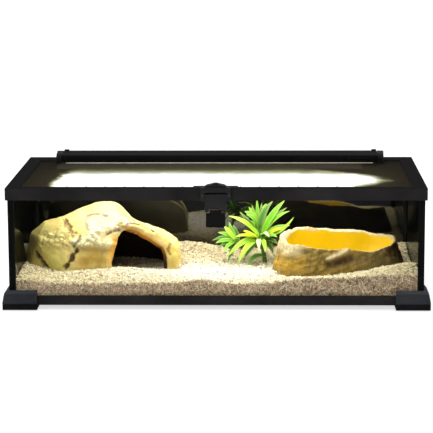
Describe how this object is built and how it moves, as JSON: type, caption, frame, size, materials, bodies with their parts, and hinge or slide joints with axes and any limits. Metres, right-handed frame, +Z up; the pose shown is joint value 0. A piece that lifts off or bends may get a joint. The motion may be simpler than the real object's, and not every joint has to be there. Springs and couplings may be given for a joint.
{
  "type": "reptile terrarium",
  "caption": "Low, long glass terrarium in a black plastic frame on corner feet, with a hinged mesh lid, front latch, tilting LED hood, rear cable gates, rock hide, water dish and plant.",
  "frame": {"origin": "on the surface the feet stand on, under the middle of the tank", "axes": "+X along the tank's length to the right seen from the front, +Y to the rear, +Z up; the latch faces -Y"},
  "size_m": [0.8168, 0.4188, 0.258],
  "materials": {
    "frame_plastic": "satin black moulded plastic",
    "foot_plastic": "satin black moulded plastic",
    "hood_plastic": "satin black moulded plastic",
    "latch_plastic": "semi-gloss black moulded plastic",
    "pad_rubber": "matte black rubber",
    "clear_glass": "polished clear glass",
    "black_film": "smooth black film",
    "black_silicone": "smooth black sealant",
    "steel_fastener": "plated steel",
    "screen_wire": "black coated wire mesh",
    "cob_granules": "loose corn cob granules",
    "cave_resin": "painted cast resin rock",
    "dish_resin": "painted cast resin rock, glazed basin",
    "stem_plastic": "moulded green plastic",
    "leaf_plastic": "moulded soft green plastic",
    "diffuser_plastic": "frosted clear plastic",
    "white_reflector": "white sheet",
    "led_board_metal": "white coated metal board",
    "led_lens": "phosphor lens",
    "circuit_board": "green board with parts",
    "switch_plastic": "board-mounted switch"
  },
  "bodies": {
    "tank": {"base_frame": "frame_plastic", "foot_front_left": "foot_plastic", "foot_front_right": "foot_plastic", "foot_rear_left": "foot_plastic", "foot_rear_right": "foot_plastic", "foot_pads": "pad_rubber", "floor_glass": "clear_glass", "front_glass": "clear_glass", "rear_glass": "clear_glass", "left_glass": "clear_glass", "right_glass": "clear_glass", "rear_backing": "black_film", "side_backings": "black_film", "silicone_seals": "black_silicone", "post_front_left": "frame_plastic", "post_front_right": "frame_plastic", "post_rear_left": "frame_plastic", "post_rear_right": "frame_plastic", "top_frame": "frame_plastic", "lid_seat": "frame_plastic", "latch_keeper": "steel_fastener", "cable_inlet_left": "frame_plastic", "cable_inlet_right": "frame_plastic", "tank_hinge_leaves": "frame_plastic", "tank_hinge_screws": "steel_fastener", "substrate": "cob_granules", "hide_cave": "cave_resin", "water_dish": "dish_resin", "plant_stem": "stem_plastic", "plant_leaves": "leaf_plastic"},
    "lid": {"lid_frame": "frame_plastic", "lid_screen": "screen_wire", "screen_spline": "pad_rubber", "lid_hinge_leaves": "frame_plastic", "lid_hinge_screws": "steel_fastener", "lid_hinge_pins": "steel_fastener", "latch_bezel": "latch_plastic", "latch_rivets": "steel_fastener", "latch_upper_pin": "steel_fastener", "hood_bracket_left": "frame_plastic", "hood_bracket_right": "frame_plastic", "hood_pivot_pins": "steel_fastener", "bracket_screws": "steel_fastener"},
    "hood": {"hood_housing": "hood_plastic", "hood_end_cap_left": "hood_plastic", "hood_end_cap_right": "hood_plastic", "hood_diffuser": "diffuser_plastic", "hood_screws": "steel_fastener", "led_reflector": "white_reflector", "led_board": "led_board_metal", "led_chips": "led_lens", "driver_board": "circuit_board", "dc_inlet": "frame_plastic", "power_switch": "switch_plastic"},
    "hasp": {"latch_hasp": "latch_plastic", "latch_lower_pin": "steel_fastener"},
    "lever": {"latch_lever": "latch_plastic"},
    "button": {"power_button": "hood_plastic"},
    "gate_left": {"cable_gate_left": "frame_plastic"},
    "gate_right": {"cable_gate_right": "frame_plastic"}
  },
  "joints": [
    {"name": "lid_hinge", "type": "hinge", "parent": "tank", "child": "lid", "pos_m": [0, 0.181, 0.24], "axis": [-1, 0, 0], "range_deg": [0, 95]},
    {"name": "hood_tilt", "type": "hinge", "parent": "lid", "child": "hood", "pos_m": [0, 0.163, 0.2505], "axis": [-1, 0, 0], "range_deg": [0, 70]},
    {"name": "hasp_swing", "type": "hinge", "parent": "lid", "child": "hasp", "pos_m": [0, -0.2052, 0.224], "axis": [-1, 0, 0], "range_deg": [0, 95]},
    {"name": "lever_swing", "type": "hinge", "parent": "hasp", "child": "lever", "pos_m": [0, -0.2076, 0.194], "axis": [-1, 0, 0], "range_deg": [0, 75]},
    {"name": "button_press", "type": "slide", "parent": "hood", "child": "button", "axis": [0, 1, 0], "range_m": [0, 0.0012], "stiffness_N_per_m": 600, "springref_m": -0.001},
    {"name": "gate_left_slide", "type": "slide", "parent": "tank", "child": "gate_left", "axis": [1, 0, 0], "range_m": [0, 0.0185]},
    {"name": "gate_right_slide", "type": "slide", "parent": "tank", "child": "gate_right", "axis": [-1, 0, 0], "range_m": [0, 0.0185]}
  ]
}
